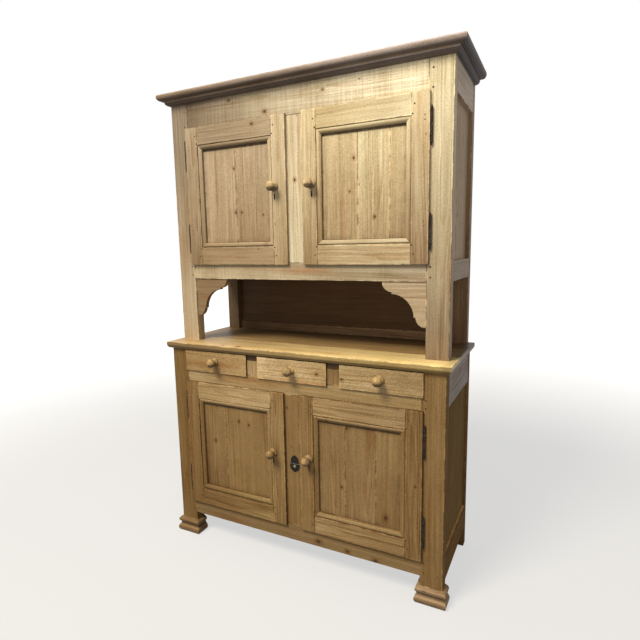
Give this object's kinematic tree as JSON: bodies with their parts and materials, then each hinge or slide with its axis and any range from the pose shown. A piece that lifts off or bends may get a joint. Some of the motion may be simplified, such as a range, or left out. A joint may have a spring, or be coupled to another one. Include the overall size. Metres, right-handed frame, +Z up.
{
  "type": "housekeepers cabinet",
  "caption": "Two-stage pine cupboard: drawers over panelled doors on moulded feet, and a panelled hutch on legs over an open niche",
  "frame": {"origin": "middle of the whole cabinet seen from above, at the floor", "axes": "+Z up, -Y is the front, +X to the right of a viewer who faces the front"},
  "size_m": [1.376, 0.541, 2.095],
  "materials": {
    "base_frame": "waxed",
    "base_boards": "waxed",
    "inside_boards": "bare",
    "counter": "waxed",
    "moulding": "waxed",
    "hutch_frame": "waxed",
    "hutch_boards": "waxed",
    "pegs": "waxed",
    "door_frames": "waxed",
    "door_panels": "waxed",
    "drawer_fronts": "waxed",
    "knobs": "polished",
    "iron": "worn"
  },
  "bodies": {
    "carcass": {"base_back_boards": "base_boards", "base_back_frame": "base_frame", "base_floor_boards": "inside_boards", "base_front_muntins": "base_frame", "base_front_posts": "base_frame", "base_front_rails": "base_frame", "base_shelf": "inside_boards", "base_side_panels": "base_boards", "base_side_rails": "base_frame", "cornice_moulding": "moulding", "countertop": "counter", "drawer_runners": "inside_boards", "frame_pegs": "pegs", "front_feet": "moulding", "hinge_post_halves": "iron", "hutch_back_boards": "hutch_boards", "hutch_back_frame": "hutch_frame", "hutch_floor_boards": "inside_boards", "hutch_front_posts": "hutch_frame", "hutch_front_rails": "hutch_frame", "hutch_muntin": "hutch_frame", "hutch_shelves": "inside_boards", "hutch_side_panels": "hutch_boards", "hutch_side_rails": "hutch_frame", "hutch_top_boards": "hutch_boards", "muntin_escutcheon": "iron", "niche_brackets": "hutch_frame"},
    "upper_left_door": {"upper_left_door_frame": "door_frames", "upper_left_door_panel": "door_panels", "upper_left_door_knob": "knobs", "upper_left_door_hinge_halves": "iron", "upper_left_door_lock": "iron"},
    "upper_left_bolt": {"upper_left_door_lock_bolt": "iron"},
    "upper_right_door": {"upper_right_door_frame": "door_frames", "upper_right_door_panel": "door_panels", "upper_right_door_knob": "knobs", "upper_right_door_hinge_halves": "iron", "upper_right_door_lock": "iron"},
    "upper_right_bolt": {"upper_right_door_lock_bolt": "iron"},
    "lower_left_door": {"lower_left_door_frame": "door_frames", "lower_left_door_panel": "door_panels", "lower_left_door_knob": "knobs", "lower_left_door_hinge_halves": "iron", "lower_left_door_lock": "iron"},
    "lower_left_bolt": {"lower_left_door_lock_bolt": "iron"},
    "lower_right_door": {"lower_right_door_frame": "door_frames", "lower_right_door_panel": "door_panels", "lower_right_door_knob": "knobs", "lower_right_door_hinge_halves": "iron", "lower_right_door_lock": "iron"},
    "lower_right_bolt": {"lower_right_door_lock_bolt": "iron"},
    "left_drawer": {"left_drawer_front": "drawer_fronts", "left_drawer_box": "inside_boards", "left_drawer_knob": "knobs"},
    "middle_drawer": {"middle_drawer_front": "drawer_fronts", "middle_drawer_box": "inside_boards", "middle_drawer_knob": "knobs"},
    "right_drawer": {"right_drawer_front": "drawer_fronts", "right_drawer_box": "inside_boards", "right_drawer_knob": "knobs"}
  },
  "joints": [
    {"name": "upper_left_door_hinge", "type": "hinge", "parent": "carcass", "child": "upper_left_door", "pos_m": [-0.5652, -0.1427, 1.6335], "axis": [0, 0, 1], "range_deg": [-170, 0]},
    {"name": "upper_left_bolt_slide", "type": "slide", "parent": "upper_left_door", "child": "upper_left_bolt", "axis": [1, 0, 0], "range_m": [0, 0.009]},
    {"name": "upper_right_door_hinge", "type": "hinge", "parent": "carcass", "child": "upper_right_door", "pos_m": [0.5652, -0.1427, 1.6335], "axis": [0, 0, 1], "range_deg": [0, 170]},
    {"name": "upper_right_bolt_slide", "type": "slide", "parent": "upper_right_door", "child": "upper_right_bolt", "axis": [-1, 0, 0], "range_m": [0, 0.009]},
    {"name": "lower_left_door_hinge", "type": "hinge", "parent": "carcass", "child": "lower_left_door", "pos_m": [-0.5732, -0.2157, 0.481], "axis": [0, 0, 1], "range_deg": [-170, 0]},
    {"name": "lower_left_bolt_slide", "type": "slide", "parent": "lower_left_door", "child": "lower_left_bolt", "axis": [1, 0, 0], "range_m": [0, 0.009]},
    {"name": "lower_right_door_hinge", "type": "hinge", "parent": "carcass", "child": "lower_right_door", "pos_m": [0.5732, -0.2157, 0.481], "axis": [0, 0, 1], "range_deg": [0, 170]},
    {"name": "lower_right_bolt_slide", "type": "slide", "parent": "lower_right_door", "child": "lower_right_bolt", "axis": [-1, 0, 0], "range_m": [0, 0.009]},
    {"name": "left_drawer_slide", "type": "slide", "parent": "carcass", "child": "left_drawer", "axis": [0, -1, 0], "range_m": [0, 0.3]},
    {"name": "middle_drawer_slide", "type": "slide", "parent": "carcass", "child": "middle_drawer", "axis": [0, -1, 0], "range_m": [0, 0.3]},
    {"name": "right_drawer_slide", "type": "slide", "parent": "carcass", "child": "right_drawer", "axis": [0, -1, 0], "range_m": [0, 0.3]}
  ]
}
